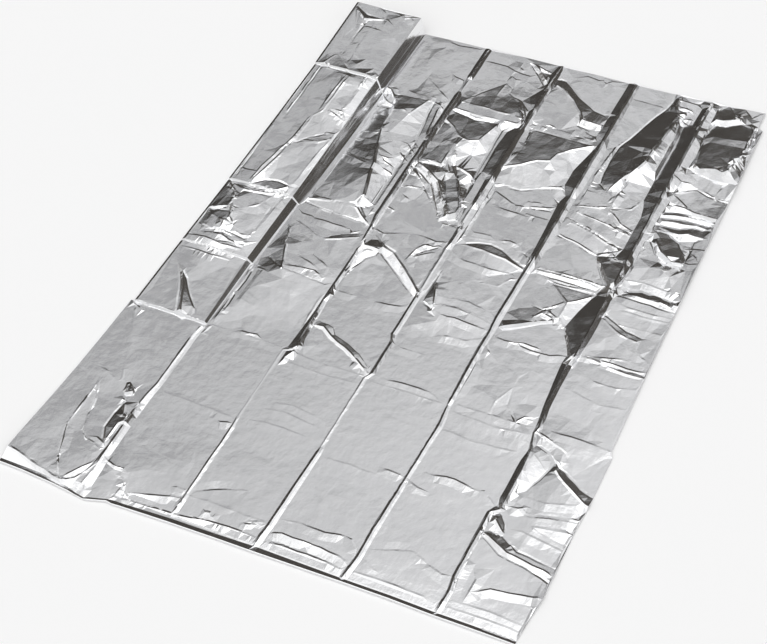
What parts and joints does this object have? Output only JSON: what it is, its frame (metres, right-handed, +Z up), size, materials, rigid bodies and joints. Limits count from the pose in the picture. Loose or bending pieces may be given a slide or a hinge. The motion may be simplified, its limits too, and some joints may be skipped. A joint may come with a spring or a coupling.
{
  "type": "emergency foil blanket",
  "caption": "Thin silver foil sheet opened out of its pouch folds and laid flat: a grid of creases, crumpled panels, one raised column and a near edge turned under.",
  "frame": {"origin": "middle of the bounding box's underside, on the floor the sheet lies on", "axes": "+Y along the blanket's length, from the edge that is turned under to the open edge; +X across its width, away from the raised column; +Z up"},
  "size_m": [1.4082, 1.9592, 0.0628],
  "materials": {
    "foil": "bright metallised film, mirror-like, creased and finely crinkled"
  },
  "bodies": {
    "root": {"foil_sheet": "foil"}
  },
  "joints": []
}
